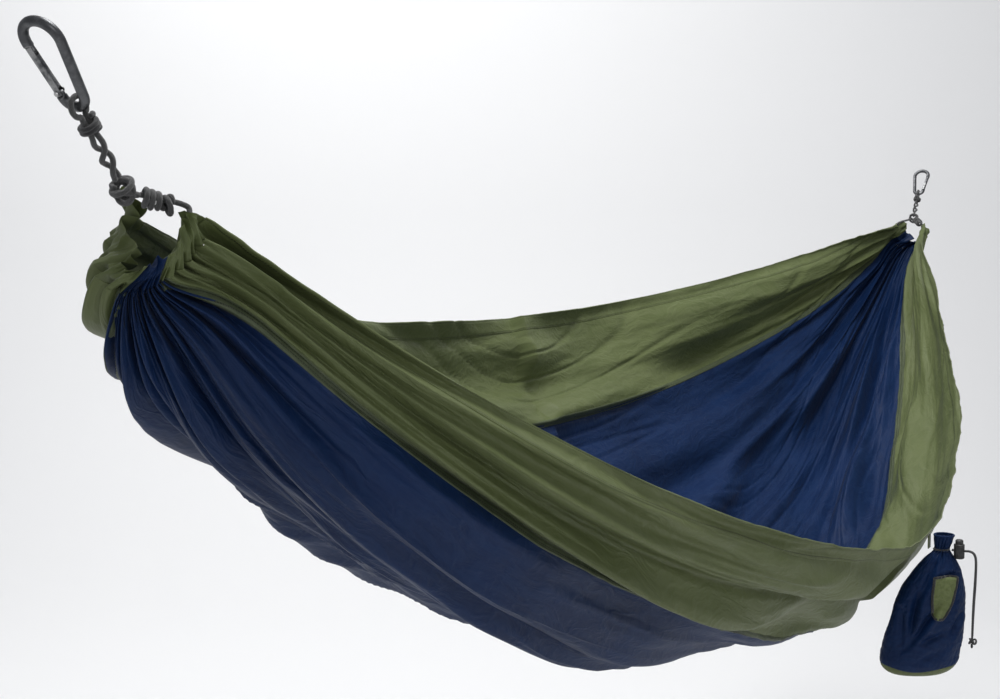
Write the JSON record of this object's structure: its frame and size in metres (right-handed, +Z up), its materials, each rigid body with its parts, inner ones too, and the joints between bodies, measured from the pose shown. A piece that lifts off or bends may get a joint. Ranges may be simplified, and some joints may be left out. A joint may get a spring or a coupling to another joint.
{
  "type": "camping hammock",
  "caption": "Gathered-end cloth hammock hung between two snap hooks, with a drawcord stuff sack sewn to one long edge.",
  "frame": {"origin": "inside of the near hook's wide end, where it hangs", "axes": "+X along the bed to the far hook, +Z up, -Y towards the rim that carries the sack"},
  "size_m": [3.0081, 0.7778, 0.8332],
  "materials": {
    "olive_nylon": "soft sheen ripstop nylon",
    "navy_nylon": "soft sheen nylon",
    "patch": "woven and overstitched",
    "rope": "braided",
    "cord": "braided",
    "gunmetal": "dark tumbled",
    "steel": "bright",
    "black_plastic": "matte"
  },
  "bodies": {
    "hooks": {"hook_near": "gunmetal", "hook_far": "gunmetal", "gate_rivet_near": "steel", "gate_rivet_far": "steel"},
    "gate_near": {"gate_near": "gunmetal", "gate_spring_near": "steel"},
    "gate_far": {"gate_far": "gunmetal", "gate_spring_far": "steel"},
    "bed": {"side_panel_near": "olive_nylon", "centre_panel": "navy_nylon", "side_panel_far": "olive_nylon", "rim_hem_near": "olive_nylon", "rim_hem_far": "olive_nylon", "seam_near": "olive_nylon", "seam_far": "olive_nylon", "end_sleeve_near": "olive_nylon", "end_sleeve_far": "olive_nylon", "end_rope_near": "rope", "end_rope_far": "rope", "hang_loop_near": "rope", "hang_loop_far": "rope", "eye_knot_near": "rope", "eye_knot_far": "rope", "gather_knot_near": "rope", "gather_knot_far": "rope"},
    "tab": {"sack_tab": "olive_nylon"},
    "sack": {"sack_body": "navy_nylon", "sack_base": "olive_nylon", "sack_hem": "navy_nylon", "drawcord": "cord", "patch": "patch", "drawcord_tail_1": "cord", "drawcord_tail_2": "cord", "tail_knot": "cord"},
    "lock": {"cord_lock_barrel": "black_plastic", "cord_lock_spring": "steel"},
    "button": {"cord_lock_button": "black_plastic"}
  },
  "joints": [
    {"name": "bed_swing", "type": "hinge", "parent": "hooks", "child": "bed", "pos_m": [0.04187, 0, -0.05358], "axis": [1, 0, 0], "range_deg": [-22, 22]},
    {"name": "near_gate_open", "type": "hinge", "parent": "hooks", "child": "gate_near", "pos_m": [0.03346, 0.01057, -0.04283], "axis": [0.788, 0, 0.6157], "range_deg": [0, 24], "stiffness_Nm_per_rad": 0.15, "springref_deg": -28.65, "deforming": ["gate_spring_near"]},
    {"name": "far_gate_open", "type": "hinge", "parent": "hooks", "child": "gate_far", "pos_m": [2.96186, -0.01057, -0.04283], "axis": [-0.788, 0, 0.6157], "range_deg": [0, 24], "stiffness_Nm_per_rad": 0.15, "springref_deg": -28.65, "deforming": ["gate_spring_far"]},
    {"name": "tab_swing", "type": "hinge", "parent": "bed", "child": "tab", "pos_m": [1.49766, -0.3321, -0.6053], "axis": [1, 0, 0], "range_deg": [-40, 10]},
    {"name": "sack_swing", "type": "hinge", "parent": "tab", "child": "sack", "pos_m": [1.49766, -0.345, -0.6255], "axis": [0, 1, 0], "range_deg": [-35, 35]},
    {"name": "lock_slide", "type": "slide", "parent": "sack", "child": "lock", "axis": [0, -1, 0], "range_m": [0, 0.008]},
    {"name": "button_press", "type": "slide", "parent": "lock", "child": "button", "axis": [0, 0, -1], "range_m": [0, 0.004], "stiffness_N_per_m": 800, "springref_m": -0.005, "deforming": ["cord_lock_spring"]}
  ]
}
